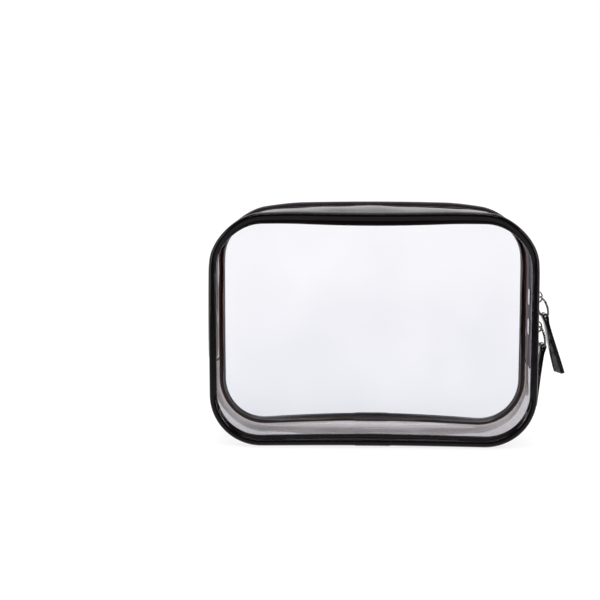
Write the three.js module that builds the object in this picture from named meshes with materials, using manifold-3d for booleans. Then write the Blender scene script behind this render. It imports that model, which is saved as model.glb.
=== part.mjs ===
// Clear makeup bag with a smoke-tinted gusset: two clear vinyl faces, piped edges, a bottom
// gusset, and a coil zipper in the top gusset with two sliders parked on the +X end.
// Millimetres, +Z up, +X towards the end with the zip pulls, -Y the front face.
// The origin is the middle of the bottom gusset's underside, which the bag stands on.
import * as THREE from 'three';
import { mergeVertices } from 'three/addons/utils/BufferGeometryUtils.js';
import Module from 'manifold-3d';

const wasm = await Module();
wasm.setup();

// ---- driving dimensions -------------------------------------------------------------
const WIDTH = 202; // over the piping, along X
const HEIGHT = 147; // over the piping, along Z
const DEPTH = 70; // over the piping, along Y
const CORNER_RADIUS = 32; // outside of the piping, seen from the front
const GAP = 0.3; // clearance between neighbouring pieces
const CORNER_STEPS = 8; // facets in each quarter turn of the outline

const PIPING_RADIUS = 2.75;
const PIPING_BORE = 1.75; // the cover's bore, where the core lies
const CORE_RADIUS = 1.4;
const JOINER_LENGTH = 23; // welded sleeve over the piping's two ends, at the bottom

const SHEET = 0.8; // vinyl, with its hems
const GUSSET_CROWN = 3; // how far the zipper strips stand proud of the seam line
const SHOULDER_OFFSET = 1.4; // the strip's height where it turns down to the piping
const SHOULDER_Y = 25;
const FLOOR_HALF = 26; // half the flat width under the bag
const SLOT_HALF = 6; // half the slot between the two zipper strips
const FLOOR_OFFSET = PIPING_RADIUS - SHEET / 2; // the bottom gusset's mid-surface
const END_SEAM_Z = 45.7; // where the zipper gusset meets the bottom gusset
const MOUTH_Z = 46; // the line where the front face bends when the mouth opens

const TAPE_HALF = 16;
const TAPE_THICKNESS = 0.6;
const TAPE_OFFSET = 1.9;
const TAPE_END_Z = 48.5;
const COIL_HALF = 3.1;
const COIL_BOTTOM = 2.5;
const COIL_TOP = 4.7;
const COIL_END_Z = 51;
const SPLIT_HALF = 0.5; // half the gap between the two zipper halves

const SLIDER_LENGTH = 10.5;
const SLIDER_WIDTH = 8.4;
const SLIDER_FLANGE = 0.7;
const SLIDER_FLANGE_LENGTH = 7;
const SLIDER_TOP = 6.2; // outer face of the top plate, over the seam line
const SLIDER_BOTTOM = 0.2; // inner face of the bottom plate
const PLATE_THICKNESS = 1.2;
const BOTTOM_THICKNESS = 1;
const SLIDER_CORNER = 2.4; // plan radius
const POST_WIDTH = 0.4;
const POST_LENGTH = 5;

const BRIDGE_WIDTH = 2.2;
const BRIDGE_HALF_LENGTH = 4;
const BRIDGE_HEIGHT = 3.1;
const BRIDGE_EYE_HALF_LENGTH = 2.8;
const BRIDGE_EYE_HEIGHT = 2;

const RING_WIRE = 0.75; // radius of the wire
const RING_RADIUS = 6.95; // radius of the ring's centre line
const RING_SEAT = 7.4; // where the wire lies under the bridge, over the seam line

const STRAP_LENGTH = 36; // from the ring's wire to the cut end
const STRAP_WIDTH = 10.5;
const STRAP_THICKNESS = 3; // two layers
const STRAP_NECK_WIDTH = 5.5;
const STRAP_LOOP_OUTER = 2.6;
const STRAP_LOOP_BORE = 1.5;
const STRAP_SHOULDER = 3.4; // below the wire, where the neck widens
const STRAP_CUT = 1.6; // rise of the slanted cut across the end

// Each pull: its slider's height, how far its ring swings out, and its strap's lean.
const PULLS = [
  { name: 'upper', z: 90.5, ringDeg: 15, strapDeg: 15.5 },
  { name: 'lower', z: 71.5, ringDeg: 9, strapDeg: -8 },
];

// ---- worked out from them -----------------------------------------------------------
const SEAM_X = WIDTH / 2 - PIPING_RADIUS; // the seam line, where the piping's centre runs
const SEAM_BOTTOM = PIPING_RADIUS;
const SEAM_TOP = HEIGHT - PIPING_RADIUS;
const SEAM_CORNER = CORNER_RADIUS - PIPING_RADIUS;
const FACE_Y = DEPTH / 2 - PIPING_RADIUS; // mid-plane of each clear face
const PANEL_INSET = PIPING_RADIUS + GAP;
const GUSSET_EDGE_Y = FACE_Y - PIPING_RADIUS - GAP;

// ---- finishes -----------------------------------------------------------------------
const finish = (color, roughness, metalness = 0, opacity = 1) => new THREE.MeshStandardMaterial({
  color, roughness, metalness, opacity, transparent: opacity < 1,
});
const clearVinyl = finish('#eef0f8', 0.08, 0, 0.25);
const smokeVinyl = finish('#5a4f47', 0.12, 0, 0.7);
const pipingVinyl = finish('#1b1415', 0.15);
const coreVinyl = finish('#2a1a18', 0.4);
const wovenTape = finish('#3a3238', 0.85);
const nylonCoil = finish('#2c262c', 0.45);
const nickel = finish('#c9c9cc', 0.18, 1);
const patent = finish('#0c0a0b', 0.12);

// ---- the outline that every edge follows ----------------------------------------------
/** A place on the seam line: a point in the XZ plane and the outward direction there. */
const station = (x, z, outX, outZ) => ({
  point: new THREE.Vector3(x, 0, z),
  out: new THREE.Vector3(outX, 0, outZ),
});

/** A quarter turn of the outline that starts at the given angle from +X. */
function corner(sideX, sideZ, startDeg) {
  const cx = sideX * (SEAM_X - SEAM_CORNER);
  const cz = sideZ > 0 ? SEAM_TOP - SEAM_CORNER : SEAM_BOTTOM + SEAM_CORNER;
  return Array.from({ length: CORNER_STEPS + 1 }, (_, i) => {
    const a = THREE.MathUtils.degToRad(startDeg + (90 * i) / CORNER_STEPS);
    const [c, s] = [Math.cos(a), Math.sin(a)];
    return station(cx + SEAM_CORNER * c, cz + SEAM_CORNER * s, c, s);
  });
}

const bottomAt = (x) => station(x, SEAM_BOTTOM, 0, -1);
const rightAt = (z) => station(SEAM_X, z, 1, 0);
const leftAt = (z) => station(-SEAM_X, z, -1, 0);
const bottomRight = () => corner(1, -1, -90);
const topRight = () => corner(1, 1, 0);
const topLeft = () => corner(-1, 1, 90);
const bottomLeft = () => corner(-1, -1, 180);

/** A path along the outline whose frames stay in its plane, so a section sweeps without twist. */
class OutlinePath extends THREE.Curve {
  constructor(stations) {
    super();
    this.stations = stations;
  }

  getSpacedPoints() {
    return this.stations.map((s) => s.point);
  }

  computeFrenetFrames() {
    const across = new THREE.Vector3(0, 1, 0);
    return {
      tangents: this.stations.map((s) => new THREE.Vector3().crossVectors(s.out, across)),
      normals: this.stations.map((s) => s.out),
      binormals: this.stations.map(() => across),
    };
  }
}

/** Carry a section, drawn as (outward offset, Y), along stations of the outline. */
const sweep = (section, stations) => new THREE.ExtrudeGeometry(section, {
  extrudePath: new OutlinePath(stations),
  steps: stations.length - 1,
  curveSegments: 6,
});

/** The outline over the top, from one end's height z to the other's. */
const overTheTop = (z) => [rightAt(z), ...topRight(), ...topLeft(), leftAt(z)];

/** The outline under the bag, from one end's height z to the other's. */
const underTheBag = (z) => [leftAt(z), ...bottomLeft(), ...bottomRight(), rightAt(z)];

// ---- sections -------------------------------------------------------------------------
const polygon = (points) => new THREE.Shape(points.map(([out, y]) => new THREE.Vector2(out, y)));

/** A bent sheet of even thickness, from its mid-line points in the order of rising Y. */
function sheetSection(midline) {
  const outer = midline.map(([out, y]) => [out + SHEET / 2, y]);
  const inner = midline.map(([out, y]) => [out - SHEET / 2, y]).reverse();
  return polygon([...outer, ...inner]);
}

/** A round section, with a bore if one is given, centred at y. */
function roundSection(radius, y, bore = 0) {
  const shape = new THREE.Shape().absarc(0, y, radius, 0, 2 * Math.PI);
  if (bore) shape.holes.push(new THREE.Path().absarc(0, y, bore, 0, 2 * Math.PI, true));
  return shape;
}

/** A rectangle from out0 to out1 and from y0 to y1. */
const barSection = (out0, out1, y0, y1) => polygon([[out0, y0], [out1, y0], [out1, y1], [out0, y1]]);

// ---- the group and how a piece joins it -------------------------------------------------
const bag = new THREE.Group();

function add(name, geometry, material) {
  const mesh = new THREE.Mesh(geometry, material);
  mesh.name = name;
  bag.add(mesh);
  return mesh;
}

// ---- clear faces ------------------------------------------------------------------------
/** The face's outline between two heights, as a plate of the sheet's thickness in the XZ plane. */
function panelGeometry(fromZ, toZ) {
  const half = SEAM_X - PANEL_INSET;
  const radius = SEAM_CORNER - PANEL_INSET;
  const [low, high] = [SEAM_BOTTOM + PANEL_INSET, SEAM_TOP - PANEL_INSET];
  const shape = new THREE.Shape();
  if (fromZ <= low) {
    shape.absarc(-half + radius, low + radius, radius, Math.PI, 1.5 * Math.PI);
    shape.absarc(half - radius, low + radius, radius, 1.5 * Math.PI, 2 * Math.PI);
  } else {
    shape.moveTo(-half, fromZ);
    shape.lineTo(half, fromZ);
  }
  if (toZ >= high) {
    shape.absarc(half - radius, high - radius, radius, 0, 0.5 * Math.PI);
    shape.absarc(-half + radius, high - radius, radius, 0.5 * Math.PI, Math.PI);
  } else {
    shape.lineTo(half, toZ);
    shape.lineTo(-half, toZ);
  }
  const plate = new THREE.ExtrudeGeometry(shape, {
    depth: SHEET, bevelEnabled: false, curveSegments: CORNER_STEPS,
  });
  return plate.rotateX(Math.PI / 2).translate(0, SHEET / 2, 0);
}

function addPanels() {
  const front = { front_panel_lower: [0, MOUTH_Z - GAP / 2], front_panel_upper: [MOUTH_Z + GAP / 2, HEIGHT] };
  for (const [name, [fromZ, toZ]] of Object.entries(front)) {
    add(name, panelGeometry(fromZ, toZ), clearVinyl).position.y = -FACE_Y;
  }
  add('back_panel', panelGeometry(0, HEIGHT), clearVinyl).position.y = FACE_Y;
}

// ---- piping: a vinyl cover round a soft core, joined at the bottom -----------------------
function addPiping() {
  const end = JOINER_LENGTH / 2 + GAP;
  const [below, above] = [MOUTH_Z - GAP / 2, MOUTH_Z + GAP / 2];
  const stretches = {
    front_piping_upper: [-1, overTheTop(above)],
    front_piping_lower_right: [-1, [bottomAt(end), ...bottomRight(), rightAt(below)]],
    front_piping_lower_left: [-1, [leftAt(below), ...bottomLeft(), bottomAt(-end)]],
    back_piping: [1, [bottomAt(end), ...bottomRight(), ...topRight(), ...topLeft(), ...bottomLeft(),
      bottomAt(-end)]],
  };
  for (const [name, [side, stations]] of Object.entries(stretches)) {
    const y = side * FACE_Y;
    add(name, sweep(roundSection(PIPING_RADIUS, y, PIPING_BORE), stations), pipingVinyl);
    add(`${name}_core`, sweep(roundSection(CORE_RADIUS, y), stations), coreVinyl);
  }
  for (const [name, side] of [['front', -1], ['back', 1]]) {
    const half = JOINER_LENGTH / 2;
    const joiner = sweep(roundSection(PIPING_RADIUS, side * FACE_Y), [bottomAt(-half), bottomAt(half)]);
    add(`${name}_piping_joiner`, joiner, pipingVinyl);
  }
}

// ---- gussets ------------------------------------------------------------------------------
/** Mirror a half section to the front (side -1) or leave it at the back, with Y rising. */
const onSide = (side, midline) => (side > 0 ? midline : midline.map(([o, y]) => [o, -y]).reverse());

function addGussets() {
  const half = [[GUSSET_CROWN, SLOT_HALF], [GUSSET_CROWN, TAPE_HALF + 1], [SHOULDER_OFFSET, SHOULDER_Y],
    [0, GUSSET_EDGE_Y]];
  for (const [name, side] of [['front', -1], ['back', 1]]) {
    const stations = overTheTop(side < 0 ? MOUTH_Z + GAP / 2 : END_SEAM_Z + GAP);
    add(`zipper_gusset_${name}`, sweep(sheetSection(onSide(side, half)), stations), smokeVinyl);
  }
  const floor = [[0, -GUSSET_EDGE_Y], [FLOOR_OFFSET, -FLOOR_HALF], [FLOOR_OFFSET, FLOOR_HALF],
    [0, GUSSET_EDGE_Y]];
  add('bottom_gusset', sweep(sheetSection(floor), underTheBag(END_SEAM_Z)), smokeVinyl);
}

// ---- zipper ---------------------------------------------------------------------------------
function addZipper() {
  const [low, high] = [TAPE_OFFSET - TAPE_THICKNESS / 2, TAPE_OFFSET + TAPE_THICKNESS / 2];
  for (const [name, side] of [['front', -1], ['back', 1]]) {
    const between = (near, far) => (side > 0 ? [near, far] : [-far, -near]);
    const tape = barSection(low, high, ...between(SPLIT_HALF, TAPE_HALF));
    const coil = barSection(COIL_BOTTOM, COIL_TOP, ...between(SPLIT_HALF, COIL_HALF));
    add(`zipper_tape_${name}`, sweep(tape, overTheTop(TAPE_END_Z)), wovenTape);
    add(`zipper_coil_${name}`, sweep(coil, overTheTop(COIL_END_Z)), nylonCoil);
  }
}

// ---- sliders, rings and straps ----------------------------------------------------------------
/** A closed three.js geometry as a manifold solid. */
function solid(geometry) {
  const bare = geometry.clone();
  bare.deleteAttribute('normal');
  bare.deleteAttribute('uv');
  const merged = mergeVertices(bare, 1e-4);
  return new wasm.Manifold(new wasm.Mesh({
    numProp: 3,
    vertProperties: new Float32Array(merged.attributes.position.array),
    triVerts: new Uint32Array(merged.index.array),
  }));
}

/** A manifold solid as a three.js geometry. */
function geometryOf(manifold) {
  const { vertProperties, triVerts } = manifold.getMesh();
  const geometry = new THREE.BufferGeometry();
  geometry.setAttribute('position', new THREE.BufferAttribute(new Float32Array(vertProperties), 3));
  geometry.setIndex(new THREE.BufferAttribute(new Uint32Array(triVerts), 1));
  geometry.computeVertexNormals();
  return geometry;
}

const join = (...geometries) => geometryOf(geometries.map(solid).reduce((a, b) => a.add(b)));

/** A box between two corners. */
function boxBetween([x0, y0, z0], [x1, y1, z1]) {
  return new THREE.BoxGeometry(x1 - x0, y1 - y0, z1 - z0)
    .translate((x0 + x1) / 2, (y0 + y1) / 2, (z0 + z1) / 2);
}

/** A plate of the slider's round-cornered plan, from x0 outwards; the slider is centred on z = 0. */
function sliderPlate(x0, thickness) {
  const [w, l, r] = [SLIDER_WIDTH / 2, SLIDER_LENGTH / 2, SLIDER_CORNER];
  const plan = new THREE.Shape();
  plan.absarc(w - r, -l + r, r, -Math.PI / 2, 0);
  plan.absarc(w - r, l - r, r, 0, Math.PI / 2);
  plan.absarc(-w + r, l - r, r, Math.PI / 2, Math.PI);
  plan.absarc(-w + r, -l + r, r, Math.PI, 1.5 * Math.PI);
  const plate = new THREE.ExtrudeGeometry(plan, { depth: thickness, bevelEnabled: false, curveSegments: 4 });
  // the plan's x lies along +Y and its y along +Z, so the plate grows along +X
  return plate.applyMatrix4(new THREE.Matrix4().makeBasis(
    new THREE.Vector3(0, 1, 0), new THREE.Vector3(0, 0, 1), new THREE.Vector3(1, 0, 0),
  )).translate(x0, 0, 0);
}

/** Two plates held apart by a post between the zipper halves; flanges wrap the coils' edges. */
function sliderBodyGeometry() {
  const sink = 0.05; // how deep the joined blocks enter each other
  const topInner = SLIDER_TOP - PLATE_THICKNESS;
  const bottomOuter = SLIDER_BOTTOM + BOTTOM_THICKNESS;
  const [l, w] = [SLIDER_FLANGE_LENGTH / 2, SLIDER_WIDTH / 2];
  const flangeLow = TAPE_OFFSET + TAPE_THICKNESS / 2 + GAP;
  const flange = (y0) => boxBetween([flangeLow, y0, -l], [topInner + sink, y0 + SLIDER_FLANGE, l]);
  const post = boxBetween(
    [bottomOuter - sink, -POST_WIDTH / 2, -POST_LENGTH / 2],
    [topInner + sink, POST_WIDTH / 2, POST_LENGTH / 2],
  );
  return join(
    sliderPlate(topInner, PLATE_THICKNESS),
    sliderPlate(SLIDER_BOTTOM, bottomOuter - SLIDER_BOTTOM),
    flange(-w), flange(w - SLIDER_FLANGE), post,
  );
}

/** The arch that holds the ring, standing on the top plate, drawn in (outward, Z). */
function bridgeGeometry() {
  const arch = new THREE.Shape();
  const foot = SLIDER_TOP + GAP;
  arch.absellipse(foot, 0, BRIDGE_HEIGHT, BRIDGE_HALF_LENGTH, -Math.PI / 2, Math.PI / 2, false, 0);
  arch.absellipse(foot, 0, BRIDGE_EYE_HEIGHT, BRIDGE_EYE_HALF_LENGTH, Math.PI / 2, -Math.PI / 2, true, 0);
  return new THREE.ExtrudeGeometry(arch, { depth: BRIDGE_WIDTH, bevelEnabled: false, curveSegments: 8 })
    .rotateX(Math.PI / 2).translate(0, BRIDGE_WIDTH / 2, 0);
}

/** The wire ring, hanging down from a wire centre at the origin. */
const ringGeometry = () => new THREE.TorusGeometry(RING_RADIUS, RING_WIRE, 8, 32)
  .rotateY(Math.PI / 2).translate(0, 0, -RING_RADIUS);

/** The folded strap, hanging down from a loop round the origin. */
function strapGeometry() {
  const loop = new THREE.Shape().absarc(0, 0, STRAP_LOOP_OUTER, 0, 2 * Math.PI);
  loop.holes.push(new THREE.Path().absarc(0, 0, STRAP_LOOP_BORE, 0, 2 * Math.PI, true));
  const neckLoop = new THREE.ExtrudeGeometry(loop, {
    depth: STRAP_NECK_WIDTH, bevelEnabled: false, curveSegments: 8,
  }).rotateX(Math.PI / 2).translate(0, STRAP_NECK_WIDTH / 2, 0);
  const [w, t] = [STRAP_WIDTH / 2, STRAP_THICKNESS / 2];
  const stem = boxBetween([-t, -STRAP_NECK_WIDTH / 2, -STRAP_SHOULDER - 1], [t, STRAP_NECK_WIDTH / 2, -2]);
  const plan = new THREE.Shape([
    [-w, -STRAP_SHOULDER], [-w, -STRAP_LENGTH + STRAP_CUT], [w, -STRAP_LENGTH], [w, -STRAP_SHOULDER],
  ].map(([y, z]) => new THREE.Vector2(y, z)));
  const blade = new THREE.ExtrudeGeometry(plan, { depth: STRAP_THICKNESS, bevelEnabled: false })
    .applyMatrix4(new THREE.Matrix4().makeBasis(
      new THREE.Vector3(0, 1, 0), new THREE.Vector3(0, 0, 1), new THREE.Vector3(1, 0, 0),
    )).translate(-t, 0, 0);
  return join(neckLoop, stem, blade);
}

function addPull({ name, z, ringDeg, strapDeg }) {
  for (const [part, geometry] of [['body', sliderBodyGeometry()], ['bridge', bridgeGeometry()]]) {
    add(`${name}_slider_${part}`, geometry, nickel).position.set(SEAM_X, 0, z);
  }
  const [swing, lean] = [ringDeg, strapDeg].map(THREE.MathUtils.degToRad);
  const ring = add(`${name}_pull_ring`, ringGeometry(), nickel);
  ring.position.set(SEAM_X + RING_SEAT, 0, z);
  ring.rotation.y = -swing;
  const strap = add(`${name}_pull_strap`, strapGeometry(), patent);
  const hang = new THREE.Vector3(Math.sin(swing), 0, -Math.cos(swing));
  strap.position.copy(ring.position).addScaledVector(hang, 2 * RING_RADIUS);
  strap.rotation.y = -lean;
}

// ---- the bag --------------------------------------------------------------------------------------
addPanels();
addPiping();
addGussets();
addZipper();
PULLS.forEach(addPull);

export default bag;
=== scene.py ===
# %% [markdown]
# # A clear vinyl makeup bag
# The bag has two clear faces, glossy black piping, a smoke-tinted gusset and a coil zipper with two
# ringed pulls. The CAD frame gives its sizes and places. This file makes the surfaces that the eye sees:
# each is a formula of two parameters, worked out with numpy in millimetres, and turned to metres as a
# mesh is made.

# %% Load the frame
import math

import bpy
import numpy as np
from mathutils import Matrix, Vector


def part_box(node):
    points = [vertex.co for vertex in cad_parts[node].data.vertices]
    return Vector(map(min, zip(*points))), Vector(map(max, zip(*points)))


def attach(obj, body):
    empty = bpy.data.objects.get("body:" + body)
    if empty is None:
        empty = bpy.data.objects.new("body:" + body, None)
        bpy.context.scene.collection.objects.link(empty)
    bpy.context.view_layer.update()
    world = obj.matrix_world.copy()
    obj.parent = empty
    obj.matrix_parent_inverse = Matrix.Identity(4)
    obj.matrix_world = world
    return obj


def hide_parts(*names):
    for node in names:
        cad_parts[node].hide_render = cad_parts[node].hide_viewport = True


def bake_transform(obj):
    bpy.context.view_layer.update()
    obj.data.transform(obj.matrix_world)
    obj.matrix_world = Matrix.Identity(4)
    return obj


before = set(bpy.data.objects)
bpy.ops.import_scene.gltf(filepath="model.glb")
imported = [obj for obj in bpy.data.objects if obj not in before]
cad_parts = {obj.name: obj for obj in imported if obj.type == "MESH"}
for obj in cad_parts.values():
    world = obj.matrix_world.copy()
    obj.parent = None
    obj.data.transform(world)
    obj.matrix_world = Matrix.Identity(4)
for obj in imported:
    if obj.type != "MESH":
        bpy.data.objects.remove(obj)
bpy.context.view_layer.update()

PI = math.pi
MM = 0.001


# %% [markdown]
# ## Sizes from the frame
# The piping's box gives the seam line that every edge of the bag follows: a rectangle with rounded
# corners. The slider's box gives where each pull sits. Sizes that no box shows, such as the thickness of
# the sheet, are named here.

# %% Driving sizes
def box_mm(node):
    """A CAD node's lowest and highest corners in millimetres."""
    return [np.array(corner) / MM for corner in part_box(node)]


piping_low, piping_high = box_mm("back_piping")
PIPING_R = (piping_high[1] - piping_low[1]) / 2
SEAM_X = piping_high[0] - PIPING_R
SEAM_LOW = piping_low[2] + PIPING_R
SEAM_TOP = piping_high[2] - PIPING_R
FACE_Y = (piping_high[1] + piping_low[1]) / 2
CORNER_R = 29.25                     # corner radius of the seam line
CROWN = 2.4                          # how far the zipper strips stand proud of the seam line
SLOT = 6.0                           # half the slot between the zipper strips
SHEET = 0.45                         # the vinyl's real thickness
END_SEAM_Z = box_mm("bottom_gusset")[1][2]
TAPE_END_Z = box_mm("zipper_tape_back")[0][2]
COIL_END_Z = box_mm("zipper_coil_back")[0][2]
SIDES = (("front", -1), ("back", 1))  # most pieces come in pairs, one for each side of the zipper
RUN_X = SEAM_X - CORNER_R            # half the straight run along the top or bottom
RUN_Z = SEAM_TOP - SEAM_LOW - 2 * CORNER_R
QUARTER = CORNER_R * PI / 2
LOOP = 4 * RUN_X + 2 * RUN_Z + 4 * QUARTER
print(f"seam line: {2 * SEAM_X:.1f} x {SEAM_TOP - SEAM_LOW:.1f} mm, {LOOP:.0f} mm round")


# %% [markdown]
# ## The outline, and how soft vinyl settles
# A cushion can be inflated by a cloth simulation, but a bag of stiff sheet is better described by its
# seams. `outline` walks the seam line and says which way is out. `settle` then lifts and sags the whole
# bag at once, so that pieces which touch keep touching: the zipper's ridge rises along the top, the
# faces' top and bottom edges bow inwards, the ends belly out and the two top corners are pressed in.

# %% Outline and settling
def smooth(t):
    """3t^2 - 2t^3 between 0 and 1."""
    t = np.clip(t, 0, 1)
    return t * t * (3 - 2 * t)


def outline(s):
    """Point and outward direction at s mm along the seam line, from the bottom's middle towards +X.
    Half the loop is two quarter turns with straight runs between them, and the other half mirrors it."""
    lap = np.mod(s, LOOP)
    far = lap > LOOP / 2
    d = np.where(far, LOOP - lap, lap)
    low_turn = np.clip((d - RUN_X) / CORNER_R, 0, PI / 2)
    top_turn = np.clip((d - RUN_X - QUARTER - RUN_Z) / CORNER_R, 0, PI / 2)
    angle = low_turn + top_turn - PI / 2
    back = np.clip(d - RUN_X - 2 * QUARTER - RUN_Z, 0, RUN_X)
    x = np.clip(d, 0, RUN_X) - back + CORNER_R * np.cos(angle)
    z = SEAM_LOW + CORNER_R * (1 + np.sin(angle)) + np.clip(d - RUN_X - QUARTER, 0, RUN_Z)
    side = np.where(far, -1.0, 1.0)
    return side * x, z, side * np.cos(angle), np.sin(angle)


def at_height(z):
    """Distance along the seam line to height z on the straight of the +X end."""
    return RUN_X + QUARTER + z - SEAM_LOW - CORNER_R


RIDGE_RISE = 1.6                     # the zipper's ridge, mid-length of the top
TOP_DIP = 1.1                        # the faces' top edges
FRONT_ARCH = 0.8                     # the front face's bottom edge
BACK_ARCH = 3.6                      # the back face's, which is lifted more
LEFT_BELLY = 1.9                     # the end without pulls bows out along the zipper
RIGHT_BELLY = 0.1                    # the pulls' end stays nearly flat there
RIM_BELLY = 0.38                     # both ends, along the piping
RIM_PRESS = 2.2                      # the top corners are pressed in, at the piping
RIDGE_PRESS = 4.0                    # and more at the zipper
PRESS_LENGTH = 55.0                  # how far along the top the press fades out
PRESS_HEIGHT = 38.0                  # and down the end; the sliders run below it


def hump_along(x):
    """A cosine hump, 1 at the middle of the bag's length and 0 at its ends."""
    return np.cos(np.clip(x / SEAM_X, -1, 1) * PI / 2) ** 1.5


def settle(p):
    """Raise z by a cosine hump along X: up at the zipper, down at the faces' top edges, up at their feet.
    Bow the ends out by a sine along Z, and press the top corners in along their diagonals. Each amount is
    mixed between zipper and rim by the square of the distance from the middle of the depth."""
    x, y, z = p[..., 0], p[..., 1], p[..., 2]
    hump = hump_along(x)
    edge = np.clip((y / FACE_Y) ** 2, 0, 1.2)
    top = smooth((z - 90) / 50) * (RIDGE_RISE * (1 - edge) - TOP_DIP * edge)
    foot = smooth((34 - z) / 34) * edge ** 2 * np.where(y > 0, BACK_ARCH, FRONT_ARCH)
    height = np.clip((z - SEAM_LOW) / (SEAM_TOP - SEAM_LOW), 0, 1)
    rim = np.clip(edge, 0, 1)
    ridge_belly = np.where(x > 0, RIGHT_BELLY, LEFT_BELLY)
    bow = np.sin(PI * height) ** 0.7 * smooth(np.abs(x) / 40 - 1)
    belly = bow * (ridge_belly * (1 - rim) + RIM_BELLY * rim)
    corner = (smooth((np.abs(x) - SEAM_X + PRESS_LENGTH) / PRESS_LENGTH)
              * smooth((z - SEAM_TOP + PRESS_HEIGHT) / PRESS_HEIGHT))
    press = corner * (RIDGE_PRESS * (1 - rim) + RIM_PRESS * rim)
    return np.stack([x + np.sign(x) * (belly - press), y, z + hump * (top + foot) - press], -1)


def on_bag(s, out, y):
    """Point at s along the seam line, out mm proud of it, at y across the bag, settled."""
    s, out, y = np.broadcast_arrays(s, out, y)
    x, z, out_x, out_z = outline(s)
    return settle(np.stack([x + out * out_x, y, z + out * out_z], -1))


for place, y in (("zipper", 0.0), ("front edge", -FACE_Y)):
    print(f"top of the seam line at the {place}: {on_bag(LOOP / 2, 0.0, y)[2]:.1f} mm")


# %% [markdown]
# ## Grids to meshes
# Every piece is a grid of points. A tube wraps one way round, a ring wraps both ways, and an open end is
# closed with one many-sided face. The corner numbers come from whole arrays, and the UV map runs in
# metres along and across the piece, so a weave keeps its thread spacing round every bend.

# %% Mesh helpers
def grid_part(points, wrap_rows=False, wrap_cols=True, caps=True, span=None):
    """Quads of a rows x cols grid, with end caps where the rows are open, and a UV at each corner.
    span is the UV length of a whole row and column range, in metres."""
    rows, cols = points.shape[:2]
    row_steps, col_steps = rows - (not wrap_rows), cols - (not wrap_cols)
    r, c = np.meshgrid(np.arange(row_steps), np.arange(col_steps), indexing="ij")
    steps_round = ((0, 0), (0, 1), (1, 1), (1, 0))
    corner = np.stack([np.stack([r + dr, c + dc], -1) for dr, dc in steps_round], -2).reshape(-1, 4, 2)
    number = (corner[..., 0] % rows) * cols + corner[..., 1] % cols
    span = (1.0, 1.0) if span is None else span
    uv = corner / np.array([row_steps, col_steps]) * np.array(span)
    faces = [list(f) for f in number.tolist()]
    uvs = [uv.reshape(-1, 2)]
    if caps and not wrap_rows:
        first = np.arange(cols)
        faces += [first[::-1].tolist(), (first + (rows - 1) * cols).tolist()]
        uvs.append(np.zeros((2 * cols, 2)))
    return points.reshape(-1, 3), faces, np.concatenate(uvs)


def signed_volume(points, quads):
    """Sum of the volumes between the origin and each quad's two triangles; negative if inside out."""
    a, b, c, d = (points[quads[:, i]] for i in range(4))
    return np.einsum("ij,ij->i", a, np.cross(b, c) + np.cross(c, d)).sum()


def outwards(part):
    """Turn a part's faces round if its quads enclose a negative volume."""
    points, faces, uv = part
    quads = np.array([f for f in faces if len(f) == 4])
    if signed_volume(points - points.mean(0), quads) >= 0:
        return part
    starts = np.cumsum([0] + [len(f) for f in faces])
    order = np.concatenate([np.arange(b - 1, a - 1, -1) for a, b in zip(starts[:-1], starts[1:])])
    return points, [f[::-1] for f in faces], uv[order]


def make_piece(name, parts, material, slot, body, *nodes, flap=False):
    """One mesh object from closed parts in mm, riding on a body, in place of CAD nodes. Where flap is true it
    is a piece of the half of the mouth that folds forward; it rides on no body, and its place is baked into
    its mesh."""
    points, faces, uvs, start = [], [], [], 0
    for part in map(outwards, parts):
        points.append(part[0])
        faces += [[start + i for i in f] for f in part[1]]
        uvs.append(part[2])
        start += len(part[0])
    mesh = bpy.data.meshes.new(name)
    mesh.from_pydata((np.concatenate(points) * MM).tolist(), [], faces)
    uv_map = mesh.uv_layers.new(name="UVMap")
    uv_map.uv.foreach_set("vector", np.concatenate(uvs).astype(np.float32).ravel())
    mesh.polygons.foreach_set("use_smooth", np.ones(len(faces), bool))
    mesh.materials.append(material)
    piece = bpy.data.objects.new(name, mesh)
    bpy.context.scene.collection.objects.link(piece)
    if flap:
        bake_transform(piece)
    else:
        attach(piece, body)
    if nodes:
        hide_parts(*nodes)
    print(f"{name}: {len(faces)} faces")
    return piece


# %% [markdown]
# ## Tubes, bent sheets and rounded blocks
# Three shapes return again and again: wire and thread, a sheet bent along its length, and the small
# rounded castings of the sliders. Each has one function, which returns points for `grid_part`.

# %% Shape helpers
def unit(v):
    """Vectors shortened or stretched to length 1."""
    return v / np.linalg.norm(v, axis=-1, keepdims=True)


def tube(path, radius, sides, steady):
    """Circles of the given radius (one, or one for each point) round a path, squared to it.
    steady is a direction that the path never follows; it fixes the circles' twist."""
    ahead = unit(np.gradient(path, axis=0))
    a = unit(steady - (steady * ahead).sum(-1, keepdims=True) * ahead)
    b = np.cross(ahead, a)
    turn = np.linspace(0, 2 * PI, sides, endpoint=False)[None, :, None]
    radius = np.broadcast_to(radius, len(path))[:, None, None]
    return path[:, None] + radius * (np.cos(turn) * a[:, None] + np.sin(turn) * b[:, None])


def thick_line(line, thickness):
    """Closed outline of a bent sheet: its mid-line pushed half the thickness each way."""
    ahead = unit(np.gradient(line, axis=0))
    normal = np.stack([-ahead[:, 1], ahead[:, 0]], -1) * thickness / 2
    return np.concatenate([line + normal, (line - normal)[::-1]])


def rounded_block(size, plan=0.35, side=0.35, rows=14, cols=28):
    """Superellipsoid of the given X, Y, Z size, round its X axis: each cosine and sine is raised to a power,
    which squares the shape off. plan shapes the YZ outline and side the edge between its two faces."""
    def power(value, p):
        return np.sign(value) * np.abs(value) ** p

    v = np.linspace(-PI / 2, PI / 2, rows + 2)[1:-1, None]
    u = np.linspace(0, 2 * PI, cols, endpoint=False)[None]
    ring = power(np.cos(v), side)
    x = power(np.sin(v), side) * np.ones_like(u)
    points = np.stack([x, ring * power(np.cos(u), plan), ring * power(np.sin(u), plan)], -1)
    return points * np.array(size) / 2


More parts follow.
